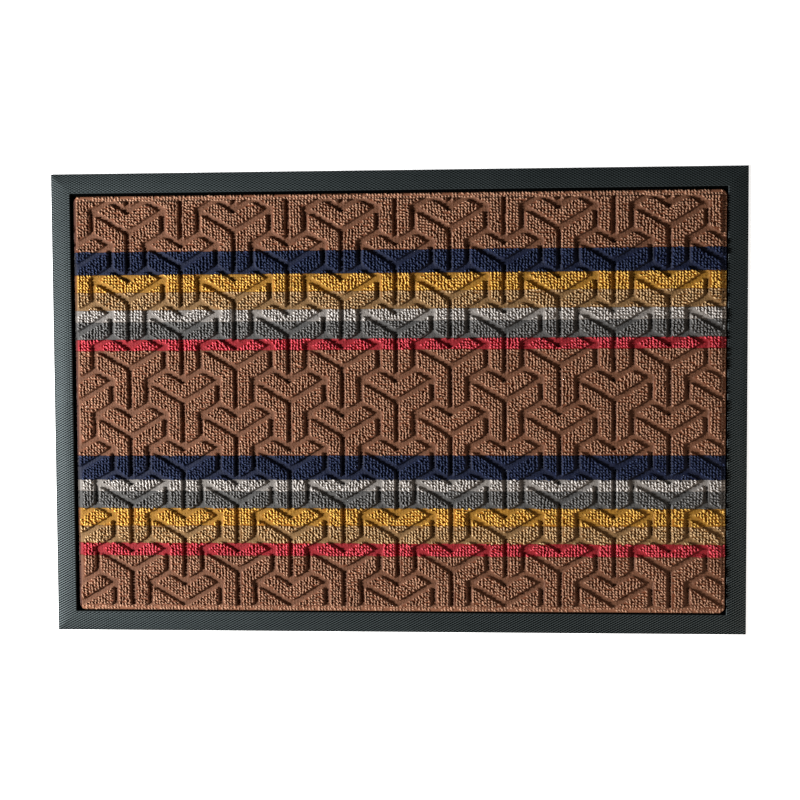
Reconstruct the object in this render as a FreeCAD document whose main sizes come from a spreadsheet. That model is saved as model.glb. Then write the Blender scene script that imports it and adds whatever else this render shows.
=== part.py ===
import FreeCAD, Part
import Sketcher
import math
import os

# Door mat: a rubber tray with a bevelled border, and a striped carpet insert bonded
# into its recess. The carpet is a woven backing cloth with loop pile in fifteen
# stripes of coloured yarn. A network of grooves is pressed into the pile, which
# leaves raised chevrons and bent blocks.
#
# The origin is at the centre of the underside. +X runs along the mat, +Y towards
# the rear edge and +Z up. All sizes are in millimetres.

Vector = FreeCAD.Vector

DIMENSIONS = [
    # overall size and the rubber tray
    ("mat_length", 600.0),
    ("mat_width", 400.0),
    ("border_width", 17.0),
    ("edge_height", 1.5),
    ("lip_height", 3.2),
    ("lip_land", 2.0),
    ("lip_chamfer", 0.3),
    ("floor_thickness", 1.5),
    # the carpet insert in its recess
    ("insert_clearance", 2.35),
    ("insert_shift_x", 0.85),
    ("insert_shift_y", -0.5),
    ("insert_corner", 5.0),
    ("bond_thickness", 0.3),
    ("cloth_thickness", 0.5),
    # the pile, measured up from the backing cloth
    ("pressed_pile", 1.9),
    ("raised_pile", 5.7),
    ("left_inset", 2.2),
    ("right_inset", 4.0),
    ("pressed_strip", 4.9),
    # the groove network: a hexagon-like lattice stretched along Y
    ("groove_width", 5.2),
    ("block_rounding", 1.6),
    ("column_pitch", 15.5),
    ("column_rise", 9.3),
    ("stem_length", 40.2),
    ("first_stem_x", 47.85),
    ("first_stem_y", 32.0),
    ("lattice_turn", 0.15),
    ("smallest_raised_area", 6.0),
]

# Stripes with a width of their own, counted inwards from the rear edge and from the
# front edge of the carpet. The broad brown field between the two groups takes the rest.
REAR_STRIPES = [
    ("pile_brown_rear", 48.4),
    ("pile_navy_rear", 19.8),
    ("pile_gold_rear", 15.3),
    ("pile_gold_heather_rear", 15.5),
    ("pile_ivory_rear", 10.4),
    ("pile_grey_rear", 15.0),
    ("pile_red_rear", 9.7),
]
FRONT_STRIPES = [
    ("pile_brown_front", 48.5),
    ("pile_red_front", 10.8),
    ("pile_gold_heather_front", 15.3),
    ("pile_gold_front", 15.3),
    ("pile_grey_front", 14.9),
    ("pile_ivory_front", 10.0),
    ("pile_navy_front", 21.0),
]
MIDDLE_STRIPE = "pile_brown_middle"

INSERT_LENGTH = "dims.mat_length - 2 * dims.border_width - 2 * dims.insert_clearance"
INSERT_WIDTH = "dims.mat_width - 2 * dims.border_width - 2 * dims.insert_clearance"


def make_sheet(doc):
    """Write every driving dimension into the spreadsheet under its alias."""
    sheet = doc.addObject("Spreadsheet::Sheet", "dims")
    stripe_widths = [(name + "_width", width) for name, width in REAR_STRIPES + FRONT_STRIPES]
    for row, (alias, value) in enumerate(DIMENSIONS + stripe_widths, start=1):
        sheet.set("A%d" % row, alias)
        sheet.set("B%d" % row, str(value))
        sheet.setAlias("B%d" % row, alias)
    doc.recompute()
    return sheet


def origin_plane(body, role):
    return next(plane for plane in body.Origin.OriginFeatures if plane.Role == role)


def rectangle_sketch(body, name, length, width, height, shift=("0", "0")):
    """A rectangle centred on the Z axis at the given height, its sizes bound to the sheet."""
    sketch = body.newObject("Sketcher::SketchObject", name)
    sketch.AttachmentSupport = [(origin_plane(body, "XY_Plane"), "")]
    sketch.MapMode = "FlatFace"
    corners = [Vector(-20, -10, 0), Vector(20, -10, 0), Vector(20, 10, 0), Vector(-20, 10, 0)]
    for start, end in zip(corners, corners[1:] + corners[:1]):
        sketch.addGeometry(Part.LineSegment(start, end), False)
    for line in range(4):
        sketch.addConstraint(Sketcher.Constraint("Coincident", line, 2, (line + 1) % 4, 1))
    for line in (0, 2):
        sketch.addConstraint(Sketcher.Constraint("Horizontal", line))
        sketch.addConstraint(Sketcher.Constraint("Vertical", line + 1))
    sketch.addConstraint(Sketcher.Constraint("Symmetric", 0, 1, 1, 2, -1, 1))
    size_x = sketch.addConstraint(Sketcher.Constraint("DistanceX", 0, 1, 0, 2, 40.0))
    size_y = sketch.addConstraint(Sketcher.Constraint("DistanceY", 1, 1, 1, 2, 20.0))
    sketch.setExpression("Constraints[%d]" % size_x, length)
    sketch.setExpression("Constraints[%d]" % size_y, width)
    sketch.setExpression("AttachmentOffset.Base.x", shift[0])
    sketch.setExpression("AttachmentOffset.Base.y", shift[1])
    sketch.setExpression("AttachmentOffset.Base.z", height)
    return sketch


def make_rubber_base(doc):
    """The moulded rubber tray: thin floor, border that slopes up to a lip, recess inside."""
    body = doc.addObject("PartDesign::Body", "rubber_base")
    body.Label = "rubber_base"

    outline = rectangle_sketch(body, "outline", "dims.mat_length", "dims.mat_width", "0")
    slab = body.newObject("PartDesign::Pad", "slab")
    slab.Profile = outline
    slab.setExpression("Length", "dims.edge_height")

    slope_run = "2 * (dims.border_width - dims.lip_land)"
    slope_foot = rectangle_sketch(
        body, "slope_foot", "dims.mat_length", "dims.mat_width", "dims.edge_height")
    slope_top = rectangle_sketch(
        body, "slope_top", "dims.mat_length - " + slope_run, "dims.mat_width - " + slope_run,
        "dims.lip_height")
    border = body.newObject("PartDesign::AdditiveLoft", "border_slope")
    border.Profile = slope_foot
    border.Sections = [slope_top]
    border.Ruled = True
    doc.recompute()
    solid_volume = body.Shape.Volume

    opening = rectangle_sketch(
        body, "opening", "dims.mat_length - 2 * dims.border_width",
        "dims.mat_width - 2 * dims.border_width", "dims.lip_height")
    recess = body.newObject("PartDesign::Pocket", "recess")
    recess.Profile = opening
    recess.setExpression("Length", "dims.lip_height - dims.floor_thickness")
    doc.recompute()
    if not body.Shape.Volume < solid_volume:
        raise RuntimeError("the recess cut nothing out of the rubber")

    lip = body.newObject("PartDesign::Chamfer", "lip_edge")
    lip.Base = (recess, inner_lip_edges(doc, recess.Shape))
    lip.setExpression("Size", "dims.lip_chamfer")
    body.Tip = lip
    doc.recompute()
    return body


def inner_lip_edges(doc, shape):
    """Names of the four top edges round the recess."""
    sheet = doc.dims
    half_x = sheet.mat_length / 2 - sheet.border_width
    half_y = sheet.mat_width / 2 - sheet.border_width
    names = []
    for number, edge in enumerate(shape.Edges, start=1):
        middle = edge.CenterOfMass
        at_top = abs(middle.z - sheet.lip_height) < 0.001
        on_side = abs(abs(middle.x) - half_x) < 0.001 and abs(middle.y) < 0.001
        on_end = abs(abs(middle.y) - half_y) < 0.001 and abs(middle.x) < 0.001
        if at_top and (on_side or on_end):
            names.append("Edge%d" % number)
    return names


def make_layer(doc, name, height, thickness):
    """A flat layer of the carpet insert: its full outline, with round corners, at a height."""
    body = doc.addObject("PartDesign::Body", name)
    body.Label = name
    outline = rectangle_sketch(
        body, name + "_outline", INSERT_LENGTH, INSERT_WIDTH, height,
        shift=("dims.insert_shift_x", "dims.insert_shift_y"))
    pad = body.newObject("PartDesign::Pad", name + "_pad")
    pad.Profile = outline
    pad.setExpression("Length", thickness)
    doc.recompute()
    corners = body.newObject("PartDesign::Fillet", name + "_corners")
    corners.Base = (pad, upright_edges(pad.Shape))
    corners.setExpression("Radius", "dims.insert_corner")
    body.Tip = corners
    doc.recompute()
    return body


def upright_edges(shape):
    """Names of the edges that run straight up."""
    return [
        "Edge%d" % number for number, edge in enumerate(shape.Edges, start=1)
        if edge.BoundBox.ZLength > 0.9 * edge.Length
    ]


def block_outlines(sheet):
    """The three faces of the groove network round one stem, as centreline polygons.

    The stem runs from the origin down to (0, -stem_length). Two arms climb two columns
    away from its top, and two shorter ones climb one column away from its foot.
    """
    step = sheet.column_pitch
    rise = sheet.column_rise
    stem = sheet.stem_length
    right = [
        (0, 0), (2 * step, 2 * rise), (2 * step, 2 * rise - stem / 2),
        (step, rise - stem / 2), (step, rise - stem), (0, -stem),
    ]
    left = [(-x, y) for x, y in right]
    chevron = [
        (0, 0), (2 * step, 2 * rise), (step, 3 * rise),
        (0, 2 * rise), (-step, 3 * rise), (-2 * step, 2 * rise),
    ]
    return [right, left, chevron]


def raised_face(outline, groove_width, rounding):
    """One raised block's outline: half a groove inside its polygon, with round corners."""
    points = [Vector(x, y, 0) for x, y in outline]
    face = Part.Face(Part.makePolygon(points + points[:1]))
    inset = face.makeOffset2D(-(groove_width / 2 + rounding), 2)
    return inset.makeOffset2D(rounding, 0)


def lattice_points(sheet, low, high):
    """Stem tops of every repeat that reaches into the rectangle from low to high."""
    step_x = 6 * sheet.column_pitch
    step_y = sheet.stem_length + 2 * sheet.column_rise
    start = Vector(low.x + sheet.first_stem_x, high.y - sheet.first_stem_y, 0)
    turn = FreeCAD.Rotation(Vector(0, 0, 1), sheet.lattice_turn)
    columns = math.ceil((high.x - low.x) / step_x) + 2
    rows = math.ceil((high.y - low.y) / step_y) + 2
    points = []
    for column in range(-2, columns):
        for row in range(-2, rows):
            for stagger in (0, 0.5):
                offset = Vector((column + stagger) * step_x, -(row + stagger) * step_y, 0)
                points.append(start + turn.multVec(offset))
    return points


def raised_blocks(sheet, low, high):
    """Faces of every raised block of the carpet, before the stripes divide them."""
    faces = []
    for outline in block_outlines(sheet):
        pattern = raised_face(outline, sheet.groove_width, sheet.block_rounding)
        pattern.rotate(Vector(0, 0, 0), Vector(0, 0, 1), sheet.lattice_turn)
        for point in lattice_points(sheet, low, high):
            face = pattern.copy()
            face.translate(point)
            faces.append(face)
    return faces


def stripe_layout(sheet, low, high):
    """Each stripe's name and its front and rear Y, from the rear edge forwards."""
    layout = []
    rear_line = high.y
    for name, _ in REAR_STRIPES:
        front_line = rear_line - getattr(sheet, name + "_width")
        layout.append((name, front_line, rear_line))
        rear_line = front_line
    front_group = []
    front_line = low.y
    for name, _ in FRONT_STRIPES:
        next_line = front_line + getattr(sheet, name + "_width")
        front_group.append((name, front_line, next_line))
        front_line = next_line
    layout.append((MIDDLE_STRIPE, front_line, rear_line))
    return layout + front_group[::-1]


def clip_to(face, low_x, high_x, low_y, high_y):
    """The parts of a flat face inside a rectangle."""
    box = face.BoundBox
    if box.XMax < low_x or box.XMin > high_x or box.YMax < low_y or box.YMin > high_y:
        return []
    if box.XMin > low_x and box.XMax < high_x and box.YMin > low_y and box.YMax < high_y:
        return face.Faces
    window = Part.makePlane(high_x - low_x, high_y - low_y, Vector(low_x, low_y, 0))
    return face.common(window).Faces


def pressed_slab(sheet, low, high, front_line, rear_line, foot):
    """The flat lower part of a stripe, rounded where it reaches the carpet's corners."""
    slab = Part.makeBox(
        high.x - low.x, rear_line - front_line, sheet.pressed_pile,
        Vector(low.x, front_line, foot))
    corners = []
    for edge in slab.Edges:
        at_end = min(abs(edge.CenterOfMass.y - low.y), abs(edge.CenterOfMass.y - high.y)) < 0.001
        if at_end and edge.BoundBox.ZLength > 0.9 * edge.Length:
            corners.append(edge)
    return slab.makeFillet(sheet.insert_corner, corners) if corners else slab


def make_stripe(doc, name, blocks, low, high, front_line, rear_line):
    """One stripe of loop pile: pressed flat in the grooves, standing up on the blocks."""
    sheet = doc.dims
    foot = sheet.floor_thickness + sheet.bond_thickness + sheet.cloth_thickness
    pressed = pressed_slab(sheet, low, high, front_line, rear_line, foot)
    raised_low = max(front_line, low.y + sheet.pressed_strip)
    raised_high = min(rear_line, high.y - sheet.pressed_strip)
    emboss_depth = sheet.raised_pile - sheet.pressed_pile
    raised = []
    for block in blocks:
        pieces = clip_to(
            block, low.x + sheet.left_inset, high.x - sheet.right_inset, raised_low, raised_high)
        for face in pieces:
            if face.Area < sheet.smallest_raised_area:
                continue
            prism = face.extrude(Vector(0, 0, emboss_depth))
            prism.translate(Vector(0, 0, foot + sheet.pressed_pile))
            raised.append(prism)
    shape = pressed.fuse(raised) if raised else pressed
    stripe = doc.addObject("Part::Feature", name)
    stripe.Label = name
    stripe.Shape = shape.removeSplitter().Solids[0]
    stripe.Placement = FreeCAD.Placement()
    return stripe


def make_pile(doc):
    """All stripes of pile on the backing cloth."""
    sheet = doc.dims
    half_x = sheet.mat_length / 2 - sheet.border_width - sheet.insert_clearance
    half_y = sheet.mat_width / 2 - sheet.border_width - sheet.insert_clearance
    low = Vector(sheet.insert_shift_x - half_x, sheet.insert_shift_y - half_y, 0)
    high = Vector(sheet.insert_shift_x + half_x, sheet.insert_shift_y + half_y, 0)
    blocks = raised_blocks(sheet, low, high)
    return [
        make_stripe(doc, name, blocks, low, high, front_line, rear_line)
        for name, front_line, rear_line in stripe_layout(sheet, low, high)
    ]


def check_document(doc, pieces):
    """Stop before anything is written if an object failed or a piece isn't one valid solid."""
    for item in doc.Objects:
        if "Invalid" in item.State or "Error" in item.State:
            raise RuntimeError("%s failed to build" % item.Name)
    for piece in pieces:
        shape = piece.Shape
        if shape.isNull() or not shape.isValid() or len(shape.Solids) != 1:
            raise RuntimeError("%s isn't one valid solid" % piece.Label)


def main():
    doc = FreeCAD.newDocument("door_mat")
    make_sheet(doc)
    pieces = [make_rubber_base(doc)]
    pieces.append(make_layer(
        doc, "bonding_layer", "dims.floor_thickness", "dims.bond_thickness"))
    pieces.append(make_layer(
        doc, "backing_cloth", "dims.floor_thickness + dims.bond_thickness",
        "dims.cloth_thickness"))
    pieces.extend(make_pile(doc))
    doc.recompute()
    check_document(doc, pieces)
    os.makedirs("parts", exist_ok=True)
    for piece in pieces:
        piece.Shape.exportStep("parts/%s.step" % piece.Label)
        print("%-26s %10.1f mm3" % (piece.Label, piece.Shape.Volume))


main()
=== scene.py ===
import math

import bpy
import numpy as np
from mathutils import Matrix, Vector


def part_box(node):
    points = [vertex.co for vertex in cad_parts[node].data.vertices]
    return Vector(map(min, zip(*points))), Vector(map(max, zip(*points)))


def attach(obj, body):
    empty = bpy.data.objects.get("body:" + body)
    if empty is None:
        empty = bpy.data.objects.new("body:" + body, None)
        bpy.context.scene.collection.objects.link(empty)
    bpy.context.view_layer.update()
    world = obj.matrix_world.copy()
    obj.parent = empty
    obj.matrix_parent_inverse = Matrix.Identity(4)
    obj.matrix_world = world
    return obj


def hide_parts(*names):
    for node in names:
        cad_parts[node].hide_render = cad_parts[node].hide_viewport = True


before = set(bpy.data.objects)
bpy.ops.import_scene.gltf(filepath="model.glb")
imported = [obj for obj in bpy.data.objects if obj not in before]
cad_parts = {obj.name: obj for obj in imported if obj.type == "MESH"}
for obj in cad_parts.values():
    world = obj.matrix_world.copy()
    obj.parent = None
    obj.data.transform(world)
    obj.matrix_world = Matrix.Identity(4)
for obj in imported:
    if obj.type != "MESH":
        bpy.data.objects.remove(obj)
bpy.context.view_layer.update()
MM = 0.001

# ---------------------------------------------------------------- the frame's own sizes
TRAY_LOW, TRAY_HIGH = (np.array(corner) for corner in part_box("rubber_base"))
CLOTH_LOW, CLOTH_HIGH = (np.array(corner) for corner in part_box("backing_cloth"))
PILE_FOOT = CLOTH_HIGH[2]
PILE_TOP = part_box("pile_brown_middle")[1][2]

# ---------------------------------------------------------------- the rubber tray, as in the CAD
BORDER_WIDTH = 17.0 * MM
EDGE_HEIGHT = 1.5 * MM
LIP_LAND = 2.0 * MM
LIP_CHAMFER = 0.3 * MM
TRAY_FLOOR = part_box("bonding_layer")[0][2]
IMPRINT_PITCH = (1.95 * MM, 1.06 * MM)
IMPRINT_RELIEF = 0.30 * MM
IMPRINT_SHARES = (0.68, 0.32)
BORDER_CROWN = 1.9
EDGE_ROUND = 0.35 * MM
EDGE_ROUND_WIDTH = 0.8 * MM

# ---------------------------------------------------------------- the pressed groove network
COLUMN_PITCH = 15.5 * MM
COLUMN_RISE = 9.3 * MM
STEM_LENGTH = 40.2 * MM
FIRST_STEM = (47.85 * MM, 32.0 * MM)
LATTICE_TURN = math.radians(0.15)
GROOVE_HALF = 2.4 * MM
PRESSED_TOP = PILE_FOOT + 1.9 * MM
EDGE_INSET = {"left": 2.3 * MM, "right": 4.0 * MM, "front": 4.4 * MM, "rear": 4.9 * MM}
LEFT_STRIP_DROP = 1.75 * MM
STRIP_LIFT = 0.7 * MM
CORNER = 5.0 * MM
CELL_STEP = 0.2 * MM
GROOVE_REACH = 8 * MM
GROOVE_BLEND = 1.6 / MM
CUT_EDGE_DROP = 1.0 * MM

# Where each change from groove to block starts and ends, as a depth inside the block.
WALL = (-0.6 * MM, 0.2 * MM)
RIM = (-0.4 * MM, 0.5 * MM)
LOOPED_FROM = (-0.2 * MM, 0.4 * MM)
SHADED_FROM = (-0.5 * MM, 0.2 * MM)
STRIP_EDGE = (-0.8 * MM, 0.2 * MM)

# ---------------------------------------------------------------- the loops
GROUND_GRID = 0.75 * MM
LOOP_PITCH = (2.73 * MM, 2.51 * MM)
LOOP_LENGTH = 3.15 * MM
LOOP_WIDTH = 1.42 * MM
GAP_DEPTH = 1.9 * MM
GROUND_BELOW_LOOPS = 0.10 * MM
SWELL = 0.10 * MM
LOOP_LEAN = math.radians(41)
STRIPE_OVERHANG = 0.2 * MM
MAX_LOOPS_PER_PIECE = 2600
RING_AT = np.array([-0.82, -0.45, 0.0, 0.45, 0.82])
AROUND = 7

# ---------------------------------------------------------------- the backing, floor and camera
CLOTH_GRID = (280, 180)
CLOTH_FRAY = 0.25 * MM
CLOTH_CLEAR = 0.02 * MM
FLOOR_HALF = 25.0
FLOOR_DROP = 0.2 * MM
CAMERA_LENS = 58.5
CAMERA_PLACE = (0.0695, 0.0532, 1.1222)
CAMERA_TURN = (-2.605, 3.342, -0.315)

STRIPES = [
    "brown_rear", "navy_rear", "gold_rear", "gold_heather_rear", "ivory_rear", "grey_rear",
    "red_rear", "brown_middle", "navy_front", "ivory_front", "grey_front", "gold_front",
    "gold_heather_front", "red_front", "brown_front",
]

YARNS = {
    "brown": (0.435, 0.240, 0.150),
    "navy": (0.026, 0.039, 0.088),
    "gold": (0.85, 0.52, 0.115),
    "gold_heather": (0.585, 0.395, 0.205),
    "ivory": (0.64, 0.60, 0.565),
    "grey": (0.212, 0.208, 0.203),
    "red": (0.74, 0.088, 0.118),
}


def stripe_yarn(stripe):
    return stripe.rsplit("_", 1)[0]


# ---------------------------------------------------------------- small helpers
def smoothstep(low, high, value):
    t = np.clip((value - low) / (high - low), 0.0, 1.0)
    return t * t * (3.0 - 2.0 * t)


def build_mesh(name, points, quads, tris=(), ngons=(), uv=None, values=None, smooth=True):
    """A mesh object from index arrays. uv maps (x, y) of each corner, values are per vertex."""
    mesh = bpy.data.meshes.new(name)
    quads = np.asarray(quads, dtype=np.int32).reshape(-1, 4)
    tris = np.asarray(tris, dtype=np.int32).reshape(-1, 3)
    corner_lists = [quads.ravel(), tris.ravel()] + [np.asarray(n, dtype=np.int32) for n in ngons]
    corners = np.concatenate(corner_lists)
    sizes = np.concatenate([
        np.full(len(quads), 4), np.full(len(tris), 3), [len(n) for n in ngons]]).astype(np.int32)
    starts = np.concatenate([[0], np.cumsum(sizes)[:-1]]).astype(np.int32)
    mesh.vertices.add(len(points))
    mesh.vertices.foreach_set("co", np.asarray(points, dtype=np.float32).ravel())
    mesh.loops.add(len(corners))
    mesh.loops.foreach_set("vertex_index", corners)
    mesh.polygons.add(len(sizes))
    mesh.polygons.foreach_set("loop_start", starts)
    mesh.update(calc_edges=True)
    mesh.polygons.foreach_set("use_smooth", np.full(len(sizes), smooth))
    if uv is not None:
        layer = mesh.uv_layers.new(name="OFBake")
        layer.data.foreach_set("uv", np.asarray(uv(corners, sizes), dtype=np.float32).ravel())
    for key, data in (values or {}).items():
        attribute = mesh.attributes.new(key, "FLOAT", "POINT")
        attribute.data.foreach_set("value", np.asarray(data, dtype=np.float32))
    mesh.validate()
    piece = bpy.data.objects.new(name, mesh)
    bpy.context.scene.collection.objects.link(piece)
    return piece


def planar_uv(points):
    """A top view of the piece over most of the map, its undersides in a narrow strip."""
    low = points[:, :2].min(axis=0)
    span = points[:, :2].max(axis=0) - low

    def uv(corners, sizes):
        place = (points[corners, :2] - low) / span
        starts = np.concatenate([[0], np.cumsum(sizes)[:-1]])
        following = np.arange(len(corners)) + 1
        following[starts + sizes - 1] = starts
        cross = place[:, 0] * place[following, 1] - place[following, 0] * place[:, 1]
        under = np.repeat(np.add.reduceat(cross, starts) < -1e-12, sizes)
        place[:, 1] = np.where(under, 0.985 + 0.01 * place[:, 1], 0.97 * place[:, 1])
        return 0.005 + 0.99 * place
    return uv


def grid_faces(nx, ny):
    """Faces and outer ring of a grid of nx by ny cells."""
    index = np.arange((nx + 1) * (ny + 1)).reshape(ny + 1, nx + 1)
    quads = np.stack([index[:-1, :-1], index[:-1, 1:], index[1:, 1:], index[1:, :-1]], -1)
    ring = np.concatenate([
        index[0, :-1], index[:-1, -1], index[-1, :0:-1], index[:0:-1, 0]])
    return quads.reshape(-1, 4), ring


def wall_faces(ring, under):
    """Faces from a closed ring of points to the ring below it."""
    return np.stack([np.roll(ring, -1), ring, under, np.roll(under, -1)], -1)


def wave_noise(x, y, wavelength, seed, waves=7):
    """Smooth noise from about -1 to 1: a few plane waves in random directions."""
    random = np.random.RandomState(seed)
    total = np.zeros_like(x)
    for _ in range(waves):
        angle = random.uniform(0, 2 * math.pi)
        length = wavelength * random.uniform(0.7, 1.5)
        phase = random.uniform(0, 2 * math.pi)
        total += np.sin(2 * math.pi * (x * math.cos(angle) + y * math.sin(angle)) / length + phase)
    return total / math.sqrt(waves)


# ---------------------------------------------------------------- the shape of the pile
def groove_segments():
    """Centrelines of the groove network round one repeat, its stem's top at (0, 0)."""
    step, rise, stem = COLUMN_PITCH, COLUMN_RISE, STEM_LENGTH
    repeat = (6 * step, stem + 2 * rise)
    cell = [((0, 0), (0, -stem))]
    for side in (-1, 1):
        cell.append(((0, 0), (side * 2 * step, 2 * rise)))
        cell.append(((0, -stem), (side * step, rise - stem)))
        cell.append(((side * step, rise - stem), (side * 2 * step, -stem)))
        cell.append(((side * 2 * step, 2 * rise), (side * 2 * step, 2 * rise - stem / 2)))
    segments = []
    for column in (-1, -0.5, 0, 0.5, 1, 1.5):
        for row in (-1, 0, 1, 2):
            shift = np.array([column * repeat[0], -(row + (column % 1)) * repeat[1]])
            segments.extend((np.array(a) + shift, np.array(b) + shift) for a, b in cell)
    return repeat, segments


def groove_cell():
    """Distance to the groove centrelines on a fine grid over one repeat of the network."""
    repeat, segments = groove_segments()
    count_u, count_v = (round(size / CELL_STEP) for size in repeat)
    u, v = np.meshgrid(
        np.arange(count_u) * repeat[0] / count_u, -np.arange(count_v) * repeat[1] / count_v)
    total = np.zeros_like(u)
    for a, b in segments:
        low, high = np.minimum(a, b) - GROOVE_REACH, np.maximum(a, b) + GROOVE_REACH
        near = (u > low[0]) & (u < high[0]) & (v > low[1]) & (v < high[1])
        along = b - a
        du, dv = u[near] - a[0], v[near] - a[1]
        t = np.clip((du * along[0] + dv * along[1]) / float(along @ along), 0, 1)
        distance = np.hypot(du - t * along[0], dv - t * along[1])
        total[near] += np.exp(-GROOVE_BLEND * distance)
    return repeat, -np.log(np.maximum(total, 1e-9)) / GROOVE_BLEND


REPEAT, CELL = groove_cell()


def groove_distance(x, y):
    """Distance to the groove network's centrelines, read from the repeat's table."""
    du = x - CLOTH_LOW[0] - FIRST_STEM[0]
    dv = y - CLOTH_HIGH[1] + FIRST_STEM[1]
    cos_t, sin_t = math.cos(LATTICE_TURN), math.sin(LATTICE_TURN)
    rows, columns = CELL.shape
    across = np.mod(du * cos_t + dv * sin_t, REPEAT[0]) / REPEAT[0] * columns
    down = np.mod(du * sin_t - dv * cos_t, REPEAT[1]) / REPEAT[1] * rows
    i, j = np.floor(across).astype(int), np.floor(down).astype(int)
    fi, fj = across - i, down - j
    i, j, i2, j2 = i % columns, j % rows, (i + 1) % columns, (j + 1) % rows
    upper = CELL[j, i] * (1 - fi) + CELL[j, i2] * fi
    lower = CELL[j2, i] * (1 - fi) + CELL[j2, i2] * fi
    return upper * (1 - fj) + lower * fj


def carpet_corner(x, y):
    """The carpet's centre, the place of its corner arcs' centres, and a point's from both."""
    centre, half = (CLOTH_LOW + CLOTH_HIGH) / 2, (CLOTH_HIGH - CLOTH_LOW) / 2
    dx, dy = x - centre[0], y - centre[1]
    past_x = np.abs(dx) - half[0] + CORNER
    past_y = np.abs(dy) - half[1] + CORNER
    return centre, half - CORNER, dx, dy, past_x, past_y


def outline_distance(x, y):
    """Distance inwards from the carpet's outline, which has round corners."""
    past_x, past_y = carpet_corner(x, y)[4:]
    outside = np.hypot(np.maximum(past_x, 0), np.maximum(past_y, 0))
    return CORNER - outside - np.minimum(np.maximum(past_x, past_y), 0)


def round_corners(x, y):
    """Bend a grid's square corners onto the carpet's round ones."""
    centre, inner, dx, dy, past_x, past_y = carpet_corner(x, y)
    a, b = np.maximum(past_x, 0) / CORNER, np.maximum(past_y, 0) / CORNER
    bent_x = np.sign(dx) * (inner[0] + CORNER * a * np.sqrt(1 - b * b / 2))
    bent_y = np.sign(dy) * (inner[1] + CORNER * b * np.sqrt(1 - a * a / 2))
    in_corner = (past_x > 0) & (past_y > 0)
    return (
        np.where(in_corner, centre[0] + bent_x, x), np.where(in_corner, centre[1] + bent_y, y))


def block_depth(x, y):
    """How far a point lies inside a raised block; negative in a groove or a pressed edge."""
    distances = [
        groove_distance(x, y) - GROOVE_HALF,
        x - CLOTH_LOW[0] - EDGE_INSET["left"],
        CLOTH_HIGH[0] - x - EDGE_INSET["right"],
        y - CLOTH_LOW[1] - EDGE_INSET["front"],
        CLOTH_HIGH[1] - y - EDGE_INSET["rear"],
    ]
    return np.minimum.reduce(distances)


def edge_drop(x, y):
    """How far the surface drops at the cut edges, and on the flat strip along the left one."""
    strip = LEFT_STRIP_DROP * left_strip_share(x)
    rounded = CUT_EDGE_DROP * (1 - smoothstep(-0.5 * MM, 1.8 * MM, outline_distance(x, y)))
    return np.maximum(strip, rounded)


def strip_share(x, y):
    """1 on the low looped strips along the front, rear and right edges, 0 elsewhere."""
    past_strip = np.minimum.reduce([
        y - CLOTH_LOW[1] - EDGE_INSET["front"], CLOTH_HIGH[1] - y - EDGE_INSET["rear"],
        CLOTH_HIGH[0] - x - EDGE_INSET["right"]])
    return 1 - smoothstep(*STRIP_EDGE, past_strip)


def looped_share(x, y, depth):
    """1 where loops stand clear of each other: on the blocks, and nearly so on the strips."""
    return np.maximum(smoothstep(*LOOPED_FROM, depth), 0.75 * strip_share(x, y))


def matted_and_shade_share(x, y, depth):
    """How dull and dark the yarn is painted: in the grooves for flattened yarn and painted shade
    together, and along the left edge as painted shadow.
    """
    pressed = (1 - smoothstep(*LOOPED_FROM, depth)) * (1 - strip_share(x, y))
    return np.maximum(pressed, left_strip_share(x))


def left_strip_share(x):
    """1 on the low strip along the left edge, which lies in the dark of the recess; the yarn there
    gets painted shadow.
    """
    return 1 - smoothstep(0.6 * EDGE_INSET["left"], EDGE_INSET["left"], x - CLOTH_LOW[0])


def raised_share(depth):
    """0 on pressed pile, 1 on a block, with a steep round wall between."""
    return smoothstep(*WALL, depth)


def surface_top(x, y, depth):
    """Height of the loops' tops."""
    top = PRESSED_TOP + STRIP_LIFT * strip_share(x, y)
    top = top + (PILE_TOP - top) * raised_share(depth)
    swell = SWELL * wave_noise(x, y, 14 * MM, 5)
    return np.minimum(top + swell, PILE_TOP) - edge_drop(x, y)


def ground_height(x, y, depth):
    """The surface between the loops: it drops away inside a block and leaves a smooth rim."""
    inside = np.maximum(smoothstep(*RIM, depth), 0.5 * strip_share(x, y))
    return surface_top(x, y, depth) - GROUND_BELOW_LOOPS - GAP_DEPTH * inside


def make_ground(stripe):
    """The flattened surface of one stripe, which the grooves and pressed edges leave bare, with
    painted shade under and between the loops.
    """
    low, high = (np.array(corner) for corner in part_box("pile_" + stripe))
    nx = round((CLOTH_HIGH[0] - CLOTH_LOW[0]) / GROUND_GRID)
    ny = max(2, round((high[1] - low[1]) / GROUND_GRID))
    xs = np.linspace(CLOTH_LOW[0], CLOTH_HIGH[0], nx + 1)
    ys = np.linspace(low[1], high[1], ny + 1)
    gx, gy = np.meshgrid(xs, ys)
    x, y = round_corners(gx.ravel(), gy.ravel())
    depth = block_depth(x, y)
    z = ground_height(x, y, depth)
    z += 0.05 * MM * wave_noise(x, y, 2.2 * MM, 21) * (1 - smoothstep(0, 1.3 * MM, depth))
    top = np.column_stack([x, y, z])
    quads, ring = grid_faces(nx, ny)
    foot = top[ring].copy()
    foot[:, 2] = PILE_FOOT
    under = np.arange(len(ring)) + len(top)
    points = np.vstack([top, foot])
    matted_and_shade = matted_and_shade_share(x, y, depth)
    # Painted shade: the ground is darkened under the loops on the blocks and strips, and painted
    # dark on the left strip.
    shade = 1 - np.maximum(smoothstep(*SHADED_FROM, depth), 0.8 * strip_share(x, y))
    shade = shade * (1 - left_strip_share(x))
    values = {
        "shade": np.concatenate([shade, np.zeros(len(foot))]),
        "matted_and_shade": np.concatenate([matted_and_shade, np.ones(len(foot))]),
        "tint": np.full(len(points), 0.5),
    }
    return build_mesh(
        "ground_" + stripe, points, np.vstack([quads, wall_faces(ring, under)]),
        ngons=[under[::-1]], uv=planar_uv(points), values=values)


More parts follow.
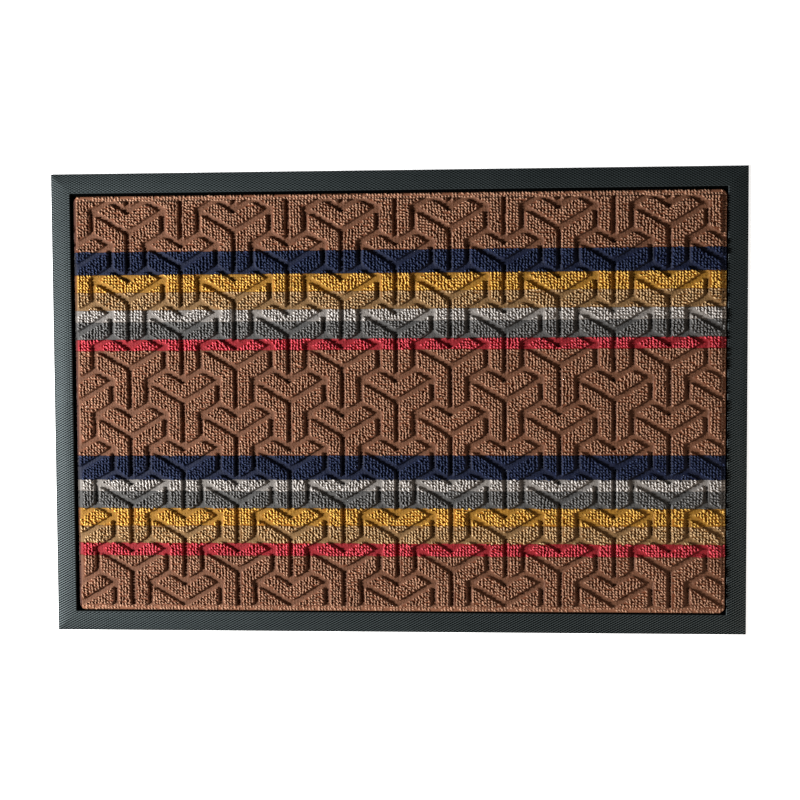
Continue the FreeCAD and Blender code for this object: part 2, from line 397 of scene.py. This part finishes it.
# ---------------------------------------------------------------- yarn loops
def loop_sites():
    """Every loop: centre, block depth, lean and its own random numbers."""
    random = np.random.RandomState(11)
    size = CLOTH_HIGH - CLOTH_LOW
    columns = int(size[0] / LOOP_PITCH[0])
    rows = int(size[1] / LOOP_PITCH[1])
    gx, gy = np.meshgrid(np.arange(columns) + 0.5, np.arange(rows) + 0.5)
    x = CLOTH_LOW[0] + gx.ravel() * size[0] / columns
    y = CLOTH_LOW[1] + gy.ravel() * size[1] / rows
    count = len(x)
    x = x + 0.30 * MM * wave_noise(x, y, 30 * MM, 3) + random.normal(0, 0.20 * MM, count)
    y = y + 0.35 * MM * wave_noise(x, y, 24 * MM, 4) + random.normal(0, 0.26 * MM, count)
    lean = LOOP_LEAN + math.radians(14) * wave_noise(x, y, 22 * MM, 8)
    lean += random.normal(0, math.radians(15), count)
    sites = {
        "x": x, "y": y, "depth": block_depth(x, y), "lean": lean,
        "length": random.normal(1.0, 0.13, count).clip(0.7, 1.3),
        "width": random.normal(1.0, 0.10, count).clip(0.75, 1.25),
        "lift": random.normal(0, 0.16 * MM, count).clip(-0.4 * MM, 0.0),
        "bend": random.normal(0, 0.32 * MM, count),
        "tint": random.uniform(0, 1, count),
    }
    keep = (outline_distance(x, y) > 1.0 * MM) & (left_strip_share(x) < 0.5)
    return {key: data[keep] for key, data in sites.items()}


def loop_mesh(name, sites, low_y, high_y):
    """One piece that holds many loops, each a closed arched bead of yarn."""
    count = len(sites["x"])
    standing = looped_share(sites["x"], sites["y"], sites["depth"])
    half_length = LOOP_LENGTH / 2 * sites["length"]
    half_width = LOOP_WIDTH / 2 * sites["width"] * (1 + 0.45 * (1 - standing))
    half_height = 0.16 * MM + 0.75 * MM * standing
    arch = 0.10 * MM + 0.85 * MM * standing
    reach = half_length * np.cos(sites["lean"]) - STRIPE_OVERHANG
    loop_y = np.clip(sites["y"], low_y + reach, high_y - reach)
    level = surface_top(sites["x"], loop_y, sites["depth"])
    top = level + sites["lift"] * standing
    cos_l, sin_l = np.cos(sites["lean"]), np.sin(sites["lean"])

    def place(s, angle, scale):
        """Points of every loop at one place along it and one angle round it."""
        across = math.cos(angle) * half_width * scale + sites["bend"] * (1 - 2 * s * s)
        along = s * half_length
        px = sites["x"] - sin_l * along + cos_l * across
        py = loop_y + cos_l * along + sin_l * across
        pz = top - half_height - arch * s * s + math.sin(angle) * half_height * scale
        return np.stack([px, py, pz], -1)

    rings = []
    heights = []
    for s in RING_AT:
        scale = (1 - s * s) ** 0.35
        for k in range(AROUND):
            angle = 2 * math.pi * (k + 0.5) / AROUND + math.pi / 2
            rings.append(place(s, angle, scale))
            heights.append(0.5 + 0.5 * math.sin(angle) * scale - 0.25 * s * s)
    rings.append(place(-1.0, 0.0, 0.0))
    rings.append(place(1.0, 0.0, 0.0))
    heights += [0.1, 0.1]
    per_loop = len(rings)
    points = np.stack(rings, 1).reshape(-1, 3)
    x, y = points[:, 0], points[:, 1]
    surface = surface_top(x, y, block_depth(x, y))
    points[:, 2] -= np.maximum(np.repeat(level, per_loop) - surface, 0)
    quads, tris = [], []
    for ring in range(len(RING_AT) - 1):
        for k in range(AROUND):
            n = (k + 1) % AROUND
            a, b = ring * AROUND, (ring + 1) * AROUND
            quads.append([a + k, a + n, b + n, b + k])
    last = (len(RING_AT) - 1) * AROUND
    for k in range(AROUND):
        n = (k + 1) % AROUND
        tris.append([per_loop - 2, n, k])
        tris.append([per_loop - 1, last + k, last + n])
    offsets = (np.arange(count) * per_loop)[:, None, None]
    quads = (np.array(quads)[None] + offsets).reshape(-1, 4)
    tris = (np.array(tris)[None] + offsets).reshape(-1, 3)
    height = np.tile(np.array(heights), count)
    stand = np.repeat(standing, per_loop)
    # Painted shade: standing loops are painted darker towards their foot, and loops by the left
    # strip darker still.
    shade = stand * smoothstep(0.2, 0.9, height) + (1 - stand)
    shade = shade * (1 - np.repeat(left_strip_share(sites["x"]), per_loop))
    matted_and_shade = matted_and_shade_share(sites["x"], sites["y"], sites["depth"])
    values = {
        "shade": shade,
        "matted_and_shade": np.repeat(matted_and_shade, per_loop),
        "tint": np.repeat(sites["tint"], per_loop),
    }
    return build_mesh(name, points, quads, tris, uv=planar_uv(points), values=values)


# ---------------------------------------------------------------- the rubber tray
def tray_axis(low, high, pitch):
    """Grid lines along one side: fine enough for the imprint, and one on each edge."""
    step = pitch / 2
    edge = max(2, round(BORDER_WIDTH / step))
    middle = max(2, round((high - low - 2 * BORDER_WIDTH) / step))
    return np.concatenate([
        np.linspace(low, low + BORDER_WIDTH, edge + 1)[:-1],
        np.linspace(low + BORDER_WIDTH, high - BORDER_WIDTH, middle + 1)[:-1],
        np.linspace(high - BORDER_WIDTH, high, edge + 1)]), edge, middle


def tray_height(x, y):
    """Border profile: up from the outer edge to the lip, then down its chamfer."""
    inward = np.minimum.reduce([
        x - TRAY_LOW[0], TRAY_HIGH[0] - x, y - TRAY_LOW[1], TRAY_HIGH[1] - y])
    rise = np.clip(inward / (BORDER_WIDTH - LIP_LAND), 0, 1)
    height = EDGE_HEIGHT + (TRAY_HIGH[2] - EDGE_HEIGHT) * (1 - (1 - rise) ** BORDER_CROWN)
    round_off = np.clip((inward - (BORDER_WIDTH - LIP_CHAMFER)) / LIP_CHAMFER, 0, 1)
    phase_x = math.pi * x / IMPRINT_PITCH[0]
    phase_y = math.pi * np.abs(y) / IMPRINT_PITCH[1]
    falling, rising = np.cos(phase_x + phase_y), np.cos(phase_x - phase_y)
    relief = IMPRINT_SHARES[0] * falling + IMPRINT_SHARES[1] * rising
    from_lip = BORDER_WIDTH - inward
    flat = smoothstep(0, 0.6 * MM, inward) * smoothstep(0.2 * MM, 0.7 * MM, from_lip)
    edge_round = EDGE_ROUND * (1 - smoothstep(0, EDGE_ROUND_WIDTH, inward))
    height = height - 0.5 * LIP_CHAMFER * round_off ** 2 - edge_round
    # Painted shade: lighter on the imprint's crests, darker in its hollows.
    crest_shade = 0.5 + (smoothstep(0, 0.4, relief) - 0.5) * flat
    return height + IMPRINT_RELIEF * (relief - 1) * flat, crest_shade


def make_tray():
    """The rubber border with its fabric imprint, recess walls, recess floor and underside."""
    xs, edge_x, middle_x = tray_axis(TRAY_LOW[0], TRAY_HIGH[0], IMPRINT_PITCH[0])
    ys, edge_y, middle_y = tray_axis(TRAY_LOW[1], TRAY_HIGH[1], IMPRINT_PITCH[1])
    nx, ny = len(xs), len(ys)
    index = -np.ones((ny, nx), dtype=np.int64)
    inner_x = (edge_x, edge_x + middle_x)
    inner_y = (edge_y, edge_y + middle_y)
    keep = np.ones((ny, nx), dtype=bool)
    keep[inner_y[0] + 1:inner_y[1], inner_x[0] + 1:inner_x[1]] = False
    index[keep] = np.arange(keep.sum())
    gx, gy = np.meshgrid(xs, ys)
    x, y = gx[keep], gy[keep]
    height, crest_shade = tray_height(x, y)
    top = np.column_stack([x, y, height])
    cells = np.ones((ny - 1, nx - 1), dtype=bool)
    cells[inner_y[0]:inner_y[1], inner_x[0]:inner_x[1]] = False
    corners = np.stack([index[:-1, :-1], index[:-1, 1:], index[1:, 1:], index[1:, :-1]], -1)
    quads = [corners[cells]]
    points = [top]
    crest_shades = [crest_shade]
    ngons = []
    rings = [(0, ny - 1, 0, nx - 1, TRAY_LOW[2], True),
             (inner_y[0], inner_y[1], inner_x[0], inner_x[1], TRAY_FLOOR, False)]
    total = len(top)
    for j0, j1, i0, i1, level, outer in rings:
        ring = np.concatenate([
            index[j0, i0:i1], index[j0:j1, i1], index[j1, i1:i0:-1], index[j1:j0:-1, i0]])
        foot = top[ring].copy()
        foot[:, 2] = level
        under = np.arange(len(ring)) + total
        wall = wall_faces(ring, under)
        quads.append(wall if outer else wall[:, ::-1])
        ngons.append(under[::-1] if outer else under)
        points.append(foot)
        # Painted shade: the recess walls and floor are painted black.
        crest_shades.append(np.full(len(ring), 0.5 if outer else 0.0))
        total += len(ring)
    points = np.vstack(points)
    return build_mesh(
        "rubber_tray", points, np.vstack(quads), ngons=ngons, uv=planar_uv(points),
        values={"crest_shade": np.concatenate(crest_shades)})


def make_cloth():
    """The woven backing, its cut edges slightly frayed."""
    nx, ny = CLOTH_GRID
    gx, gy = np.meshgrid(
        np.linspace(CLOTH_LOW[0], CLOTH_HIGH[0], nx + 1),
        np.linspace(CLOTH_LOW[1], CLOTH_HIGH[1], ny + 1))
    x, y = round_corners(gx.ravel(), gy.ravel())
    on_edge = np.zeros_like(gx, dtype=bool)
    on_edge[[0, -1], :] = True
    on_edge[:, [0, -1]] = True
    edge = on_edge.ravel()
    random = np.random.RandomState(17)
    fray = random.uniform(-CLOTH_FRAY, CLOTH_FRAY, (len(x), 2)) * edge[:, None]
    layers = [np.column_stack([x + fray[:, 0], y + fray[:, 1], np.full(len(x), z)])
              for z in (CLOTH_HIGH[2] - CLOTH_CLEAR, CLOTH_LOW[2])]
    quads, ring = grid_faces(nx, ny)
    sides = wall_faces(ring, ring + len(x))
    points = np.vstack(layers)
    return build_mesh(
        "backing_cloth_woven", points,
        np.vstack([quads, quads[:, ::-1] + len(x), sides]), uv=planar_uv(points), smooth=False)


# ---------------------------------------------------------------- materials
def node(tree, kind, inputs=None, **settings):
    """A shader node with its settings, and its inputs as values or links."""
    made = tree.nodes.new(kind)
    for key, value in settings.items():
        setattr(made, key, value)
    for key, value in (inputs or {}).items():
        if isinstance(value, bpy.types.NodeSocket):
            tree.links.new(value, made.inputs[key])
        else:
            made.inputs[key].default_value = value
    return made


def new_material(name):
    material = bpy.data.materials.new(name)
    material.use_nodes = True
    tree = material.node_tree
    return material, tree, tree.nodes["Principled BSDF"]


def value_of(tree, name):
    return node(tree, "ShaderNodeAttribute", attribute_name=name).outputs["Fac"]


def times(tree, first, second, kind="ShaderNodeMath"):
    """The product of two values, or of two colours with the vector kind."""
    return node(tree, kind, {0: first, 1: second}, operation="MULTIPLY").outputs[0]


def mix_colour(tree, share, first, second):
    """A mix of two colours. The mixer's colour sockets are numbers 6 and 7, its result 2."""
    mixer = node(tree, "ShaderNodeMix", data_type="RGBA")
    for socket, value in ((0, share), (6, first), (7, second)):
        if isinstance(value, bpy.types.NodeSocket):
            tree.links.new(value, mixer.inputs[socket])
        else:
            mixer.inputs[socket].default_value = value
    return mixer.outputs[2]


def yarn_material(name, colour):
    """Bulked yarn: painted shade in the depth of the pile, a dull tint on pressed pile that is
    partly painted shade, varied from loop to loop, fine fibres.
    """
    material, tree, shader = new_material(name)
    place = node(tree, "ShaderNodeTexCoord").outputs["Object"]
    lighter = node(tree, "ShaderNodeMapRange", {
        "Value": value_of(tree, "tint"), "To Min": 0.78, "To Max": 1.22}).outputs[0]
    fibre = node(tree, "ShaderNodeTexNoise", {
        "Vector": place, "Scale": 2600.0, "Detail": 3.0, "Roughness": 0.6})
    wear = node(tree, "ShaderNodeTexNoise", {
        "Vector": place, "Scale": 26.0, "Detail": 4.0, "Roughness": 0.6})
    fibre_light = node(tree, "ShaderNodeMapRange", {
        "Value": fibre.outputs["Fac"], "From Min": 0.3, "From Max": 0.7,
        "To Min": 0.82, "To Max": 1.16}).outputs[0]
    wear_light = node(tree, "ShaderNodeMapRange", {
        "Value": wear.outputs["Fac"], "From Min": 0.3, "From Max": 0.7,
        "To Min": 0.93, "To Max": 1.07}).outputs[0]
    # Painted shade: the colour the yarn is painted where it lies deep between the loops.
    deepest_shade = tuple(0.36 * channel / max(colour) for channel in colour) + (1,)
    # Dull tint for pressed pile: partly flattened yarn, partly painted shade in the grooves, and
    # painted shadow on the left strip.
    pressed = tuple(0.30 * (channel / max(colour)) ** 0.5 for channel in colour)
    # Painted shade: a mix from that dark colour to full colour as the shade value rises.
    depth = mix_colour(tree, value_of(tree, "shade"), deepest_shade, (1, 1, 1, 1))
    light = times(tree, times(tree, lighter, fibre_light), wear_light)
    lit = times(tree, colour, light, "ShaderNodeVectorMath")
    shaded = times(tree, lit, depth, "ShaderNodeVectorMath")
    dull = times(tree, shaded, pressed, "ShaderNodeVectorMath")
    product = mix_colour(tree, value_of(tree, "matted_and_shade"), shaded, dull)
    bump = node(tree, "ShaderNodeBump", {
        "Height": fibre.outputs["Fac"], "Strength": 0.35, "Distance": 0.2 * MM})
    tree.links.new(product, shader.inputs["Base Color"])
    tree.links.new(bump.outputs[0], shader.inputs["Normal"])
    shader.inputs["Roughness"].default_value = 0.68
    shader.inputs["Specular IOR Level"].default_value = 0.22
    return material


def rubber_material():
    """Vulcanised rubber: nearly black, slightly green, satin, with a pressed cloth imprint whose
    hollows carry painted shade.
    """
    material, tree, shader = new_material("border_rubber")
    place = node(tree, "ShaderNodeTexCoord").outputs["Object"]
    patches = node(tree, "ShaderNodeTexNoise", {
        "Vector": place, "Scale": 18.0, "Detail": 5.0, "Roughness": 0.65})
    grain = node(tree, "ShaderNodeTexNoise", {
        "Vector": place, "Scale": 3200.0, "Detail": 2.0, "Roughness": 0.5})
    colour = mix_colour(
        tree, patches.outputs["Fac"], (0.85, 1.05, 1.10, 1), (1.15, 1.30, 1.35, 1))
    # Painted shade: near black in the imprint's hollows and in the recess, with no shine there.
    crest_shade = mix_colour(
        tree, value_of(tree, "crest_shade"), (0.001, 0.001, 0.001, 1), (0.036, 0.039, 0.039, 1))
    colour = times(tree, colour, crest_shade, "ShaderNodeVectorMath")
    rough = node(tree, "ShaderNodeMapRange", {
        "Value": patches.outputs["Fac"], "From Min": 0.3, "From Max": 0.7,
        "To Min": 0.50, "To Max": 0.58}).outputs[0]
    shine = node(tree, "ShaderNodeMapRange", {
        "Value": value_of(tree, "crest_shade"), "From Min": 0.1, "From Max": 0.9,
        "To Min": 0.0, "To Max": 0.68}).outputs[0]
    bump = node(tree, "ShaderNodeBump", {
        "Height": grain.outputs["Fac"], "Strength": 0.25, "Distance": 0.1 * MM})
    tree.links.new(colour, shader.inputs["Base Color"])
    tree.links.new(rough, shader.inputs["Roughness"])
    tree.links.new(bump.outputs[0], shader.inputs["Normal"])
    tree.links.new(shine, shader.inputs["Specular IOR Level"])
    shader.inputs["Specular Tint"].default_value = (0.82, 0.97, 1.0, 1)
    return material


def weave_material():
    """Plain woven polypropylene tape, warp and weft in two browns."""
    material, tree, shader = new_material("woven_backing")
    place = node(tree, "ShaderNodeTexCoord").outputs["Object"]
    warp = node(tree, "ShaderNodeTexWave", {
        "Vector": place, "Scale": 160.0, "Distortion": 0.4}, bands_direction="X")
    weft = node(tree, "ShaderNodeTexWave", {
        "Vector": place, "Scale": 160.0, "Distortion": 0.4}, bands_direction="Y")
    product = times(tree, warp.outputs["Fac"], weft.outputs["Fac"])
    colour = mix_colour(tree, product, (0.035, 0.028, 0.022, 1), (0.12, 0.10, 0.08, 1))
    bump = node(tree, "ShaderNodeBump", {
        "Height": product, "Strength": 0.6, "Distance": 0.3 * MM})
    tree.links.new(colour, shader.inputs["Base Color"])
    tree.links.new(bump.outputs[0], shader.inputs["Normal"])
    shader.inputs["Roughness"].default_value = 0.7
    return material


def latex_material():
    """Foamed latex precoat: dull, speckled with filler."""
    material, tree, shader = new_material("latex")
    place = node(tree, "ShaderNodeTexCoord").outputs["Object"]
    speckle = node(tree, "ShaderNodeTexNoise", {
        "Vector": place, "Scale": 900.0, "Detail": 4.0, "Roughness": 0.7})
    colour = mix_colour(
        tree, speckle.outputs["Fac"], (0.10, 0.09, 0.07, 1), (0.24, 0.22, 0.17, 1))
    tree.links.new(colour, shader.inputs["Base Color"])
    shader.inputs["Roughness"].default_value = 0.8
    return material


def floor_material():
    material, _, shader = new_material("floor")
    shader.inputs["Base Color"].default_value = (0.93, 0.93, 0.93, 1)
    shader.inputs["Roughness"].default_value = 0.9
    shader.inputs["Emission Color"].default_value = (1, 1, 1, 1)
    shader.inputs["Emission Strength"].default_value = 0.75
    return material


# ---------------------------------------------------------------- putting the object together
def dress(piece, material, replaces=None):
    piece.data.materials.clear()
    piece.data.materials.append(material)
    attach(piece, "root")
    if replaces:
        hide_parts(replaces)


def split_sites(sites, low_y, high_y):
    """The stripe's loops, cut along X into pieces of a workable size."""
    mine = (sites["y"] >= low_y) & (sites["y"] < high_y)
    count = int(mine.sum())
    parts = max(1, math.ceil(count / MAX_LOOPS_PER_PIECE))
    cuts = np.linspace(CLOTH_LOW[0], CLOTH_HIGH[0], parts + 1)
    for low_x, high_x in zip(cuts[:-1], cuts[1:]):
        chosen = mine & (sites["x"] >= low_x) & (sites["x"] < high_x)
        yield {key: data[chosen] for key, data in sites.items()}


def make_pile():
    materials = {
        yarn: yarn_material(yarn + "_yarn", colour) for yarn, colour in YARNS.items()}
    sites = loop_sites()
    pieces = []
    for stripe in STRIPES:
        yarn = stripe_yarn(stripe)
        low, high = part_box("pile_" + stripe)
        ground = make_ground(stripe)
        dress(ground, materials[yarn], "pile_" + stripe)
        pieces.append(ground)
        for number, chosen in enumerate(split_sites(sites, low[1], high[1]), start=1):
            loops = loop_mesh("loops_%s_%d" % (stripe, number), chosen, low[1], high[1])
            dress(loops, materials[yarn])
            pieces.append(loops)
    return pieces


def make_object():
    pile = make_pile()
    dress(make_tray(), rubber_material(), "rubber_base")
    cloth = make_cloth()
    dress(cloth, weave_material(), "backing_cloth")
    latex = latex_material()
    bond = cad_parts["bonding_layer"]
    bond.data.materials.clear()
    bond.data.materials.append(latex)


# ---------------------------------------------------------------- floor, light and camera
def make_stage():
    corners = [(-1, -1), (1, -1), (1, 1), (-1, 1)]
    points = np.array([[x * FLOOR_HALF, y * FLOOR_HALF, -FLOOR_DROP] for x, y in corners])
    floor = build_mesh("floor", points, [[0, 1, 2, 3]])
    floor.data.materials.append(floor_material())


def area_light(name, place, target, size, power, colour=(1, 1, 1)):
    data = bpy.data.lights.new(name, "AREA")
    data.shape = "DISK"
    data.size = size
    data.energy = power
    data.color = colour
    light = bpy.data.objects.new(name, data)
    light.location = place
    direction = np.array(target, dtype=float) - np.array(place, dtype=float)
    light.rotation_euler = Vector(direction).to_track_quat("-Z", "Y").to_euler()
    bpy.context.scene.collection.objects.link(light)


def make_lights():
    area_light("key_from_left", (-1.35, -0.20, 0.86), (0, 0, 0), 0.26, 58.0)
    area_light("fill_from_right", (0.80, -0.55, 0.60), (0.2, 0, 0), 0.4, 3.0, (1, 0.86, 0.74))
    world = bpy.data.worlds.new("studio")
    world.use_nodes = True
    background = world.node_tree.nodes["Background"]
    background.inputs["Color"].default_value = (0.95, 0.98, 1.0, 1)
    background.inputs["Strength"].default_value = 0.020
    bpy.context.scene.world = world


def make_camera():
    data = bpy.data.cameras.new("camera")
    data.sensor_width = 36.0
    data.lens = CAMERA_LENS
    camera = bpy.data.objects.new("camera", data)
    camera.location = CAMERA_PLACE
    camera.rotation_euler = tuple(math.radians(angle) for angle in CAMERA_TURN)
    bpy.context.scene.collection.objects.link(camera)
    bpy.context.scene.camera = camera


make_object()
make_stage()
make_lights()
make_camera()
bpy.context.scene.view_settings.view_transform = "Standard"
